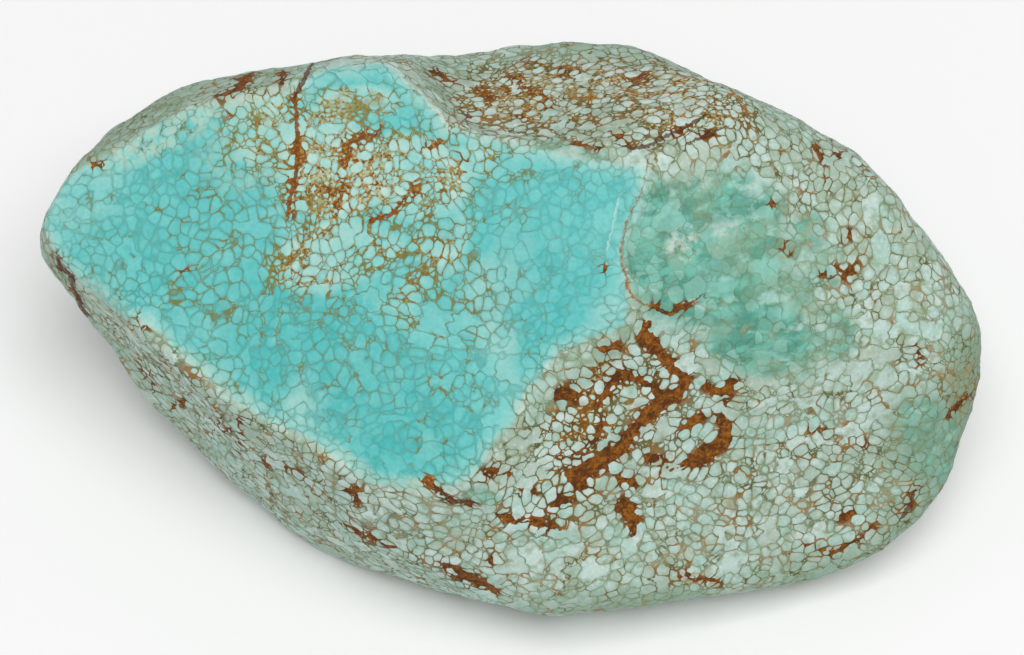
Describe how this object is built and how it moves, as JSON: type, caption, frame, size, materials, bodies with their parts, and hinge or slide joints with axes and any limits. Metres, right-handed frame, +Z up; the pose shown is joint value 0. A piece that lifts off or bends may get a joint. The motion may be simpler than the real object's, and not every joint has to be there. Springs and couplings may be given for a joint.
{
  "type": "raw turquoise nugget",
  "caption": "Raw turquoise nugget with a brown spiderweb matrix, a smooth sky-blue window ground on its face, and a flat underside to rest on.",
  "frame": {"origin": "on the ground under the middle of the nugget's bounding box", "axes": "+Z up as the nugget rests on its flat underside, +X along its length towards the blunt end, and -Y towards the side that the ground window looks out over"},
  "size_m": [0.0756, 0.0428, 0.0344],
  "materials": {
    "turquoise": "chalky green-white skin with brown matrix veins, and a smooth blue ground window with a soft sheen"
  },
  "bodies": {
    "root": {"nugget": "turquoise"}
  },
  "joints": []
}
